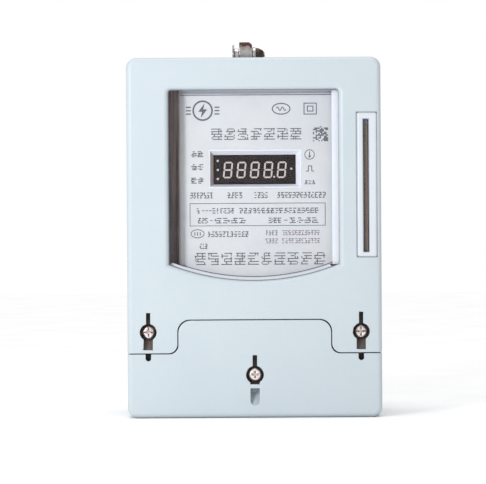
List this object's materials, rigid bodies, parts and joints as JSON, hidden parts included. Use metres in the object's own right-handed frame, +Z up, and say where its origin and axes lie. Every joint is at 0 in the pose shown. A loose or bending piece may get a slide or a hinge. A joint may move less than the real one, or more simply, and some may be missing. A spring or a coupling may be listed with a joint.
{
  "type": "prepaid electricity meter",
  "caption": "Upright single-phase prepaid meter: window over a dial plate with a digit display, side card slot, sealed upper and terminal covers, cable terminals inside and a back hanger.",
  "frame": {"origin": "middle of the bottom face on which the case stands", "axes": "+X to the right seen from the front, +Y from the front to the back, +Z up"},
  "size_m": [0.113, 0.06, 0.1714],
  "materials": {
    "case_plastic": "fine satin moulded",
    "white_plastic": "smooth moulded",
    "black_plastic": "matte moulded",
    "brown_resin": "pressed thermoset",
    "grey_plastic": "matte moulded",
    "clear_plastic": "clear polished",
    "dial_plate": "printed satin",
    "display_glass": "smoked gloss",
    "circuit_board": "lacquered",
    "plated_steel": "nickel plated",
    "core_steel": "laminated",
    "brass": "machined",
    "copper": "bright strip",
    "blue_sleeve": "shrunk sleeve",
    "yellow_resin": "moulded",
    "gasket_rubber": "matte"
  },
  "bodies": {
    "meter_base": {"rear_base": "case_plastic", "case_gasket": "gasket_rubber", "dial_frame": "case_plastic", "nameplate": "dial_plate", "display_bezel": "white_plastic", "display_module": "display_glass", "display_board": "circuit_board", "display_header": "black_plastic", "card_reader": "black_plastic", "card_contacts": "brass", "card_switch_pin": "plated_steel", "cover_insert_left": "brass", "cover_insert_right": "brass", "terminal_cover_insert": "brass", "terminal_block": "brown_resin", "terminal_clamp_1": "brass", "terminal_clamp_2": "brass", "terminal_clamp_3": "brass", "terminal_clamp_4": "brass", "line_busbar": "copper", "current_shunt": "copper", "load_busbar": "copper", "neutral_link": "copper", "relay_case": "black_plastic", "relay_coil": "copper", "transformer_core": "core_steel", "transformer_bobbin": "yellow_resin", "main_board": "circuit_board", "board_screw_1": "plated_steel", "board_screw_2": "plated_steel", "board_screw_3": "plated_steel", "board_screw_4": "plated_steel", "mcu_chip": "black_plastic", "metering_chip": "black_plastic", "clock_crystal": "plated_steel", "backup_battery": "blue_sleeve", "buzzer": "black_plastic", "filter_capacitor": "yellow_resin", "smoothing_capacitor": "blue_sleeve", "varistor": "blue_sleeve"},
    "upper_cover": {"front_cover": "case_plastic", "window_lens": "clear_plastic", "card_slot_insert": "white_plastic", "card_dust_brush": "brown_resin"},
    "lower_cover": {"terminal_cover": "case_plastic"},
    "left_cover_screw": {"cover_screw_left": "plated_steel"},
    "right_cover_screw": {"cover_screw_right": "plated_steel"},
    "lower_cover_screw": {"terminal_cover_screw": "plated_steel"},
    "clamp_screw_1_lower": {"terminal_screw_1_lower": "plated_steel"},
    "clamp_screw_1_upper": {"terminal_screw_1_upper": "plated_steel"},
    "clamp_screw_2_lower": {"terminal_screw_2_lower": "plated_steel"},
    "clamp_screw_2_upper": {"terminal_screw_2_upper": "plated_steel"},
    "clamp_screw_3_lower": {"terminal_screw_3_lower": "plated_steel"},
    "clamp_screw_3_upper": {"terminal_screw_3_upper": "plated_steel"},
    "clamp_screw_4_lower": {"terminal_screw_4_lower": "plated_steel"},
    "clamp_screw_4_upper": {"terminal_screw_4_upper": "plated_steel"},
    "card_switch": {"card_switch_lever": "grey_plastic"},
    "armature": {"relay_armature": "core_steel"},
    "hanger": {"hanger_strap": "plated_steel", "hanger_bolt": "plated_steel"}
  },
  "joints": [
    {"name": "upper_cover_lift_off", "type": "slide", "parent": "meter_base", "child": "upper_cover", "axis": [0, -1, 0], "range_m": [0, 0.05]},
    {"name": "lower_cover_lift_off", "type": "slide", "parent": "meter_base", "child": "lower_cover", "axis": [0, -1, 0], "range_m": [0, 0.04]},
    {"name": "left_cover_screw_turn", "type": "hinge", "parent": "upper_cover", "child": "left_cover_screw", "pos_m": [-0.0472, -0.025, 0.0381], "axis": [0, 1, 0], "continuous": true},
    {"name": "right_cover_screw_turn", "type": "hinge", "parent": "upper_cover", "child": "right_cover_screw", "pos_m": [0.0472, -0.025, 0.0381], "axis": [0, 1, 0], "continuous": true},
    {"name": "lower_cover_screw_turn", "type": "hinge", "parent": "lower_cover", "child": "lower_cover_screw", "pos_m": [0, -0.025, 0.0191], "axis": [0, 1, 0], "continuous": true},
    {"name": "clamp_screw_1_lower_turn", "type": "hinge", "parent": "meter_base", "child": "clamp_screw_1_lower", "pos_m": [-0.033, -0.003, 0.0108], "axis": [0, 1, 0], "continuous": true},
    {"name": "clamp_screw_1_upper_turn", "type": "hinge", "parent": "meter_base", "child": "clamp_screw_1_upper", "pos_m": [-0.033, -0.003, 0.0204], "axis": [0, 1, 0], "continuous": true},
    {"name": "clamp_screw_2_lower_turn", "type": "hinge", "parent": "meter_base", "child": "clamp_screw_2_lower", "pos_m": [-0.013, -0.003, 0.0108], "axis": [0, 1, 0], "continuous": true},
    {"name": "clamp_screw_2_upper_turn", "type": "hinge", "parent": "meter_base", "child": "clamp_screw_2_upper", "pos_m": [-0.013, -0.003, 0.0204], "axis": [0, 1, 0], "continuous": true},
    {"name": "clamp_screw_3_lower_turn", "type": "hinge", "parent": "meter_base", "child": "clamp_screw_3_lower", "pos_m": [0.013, -0.003, 0.0108], "axis": [0, 1, 0], "continuous": true},
    {"name": "clamp_screw_3_upper_turn", "type": "hinge", "parent": "meter_base", "child": "clamp_screw_3_upper", "pos_m": [0.013, -0.003, 0.0204], "axis": [0, 1, 0], "continuous": true},
    {"name": "clamp_screw_4_lower_turn", "type": "hinge", "parent": "meter_base", "child": "clamp_screw_4_lower", "pos_m": [0.033, -0.003, 0.0108], "axis": [0, 1, 0], "continuous": true},
    {"name": "clamp_screw_4_upper_turn", "type": "hinge", "parent": "meter_base", "child": "clamp_screw_4_upper", "pos_m": [0.033, -0.003, 0.0204], "axis": [0, 1, 0], "continuous": true},
    {"name": "card_switch_press", "type": "hinge", "parent": "meter_base", "child": "card_switch", "pos_m": [0.0467, 0.0022, 0.081], "axis": [0, 0, 1], "range_deg": [0, 11], "stiffness_Nm_per_rad": 0.002},
    {"name": "armature_swing", "type": "hinge", "parent": "meter_base", "child": "armature", "pos_m": [-0.00825, 0.014, 0.0519], "axis": [0, -1, 0], "range_deg": [0, 5], "stiffness_Nm_per_rad": 0.05},
    {"name": "hanger_slide", "type": "slide", "parent": "meter_base", "child": "hanger", "axis": [0, 0, 1], "range_m": [0, 0.012]}
  ]
}
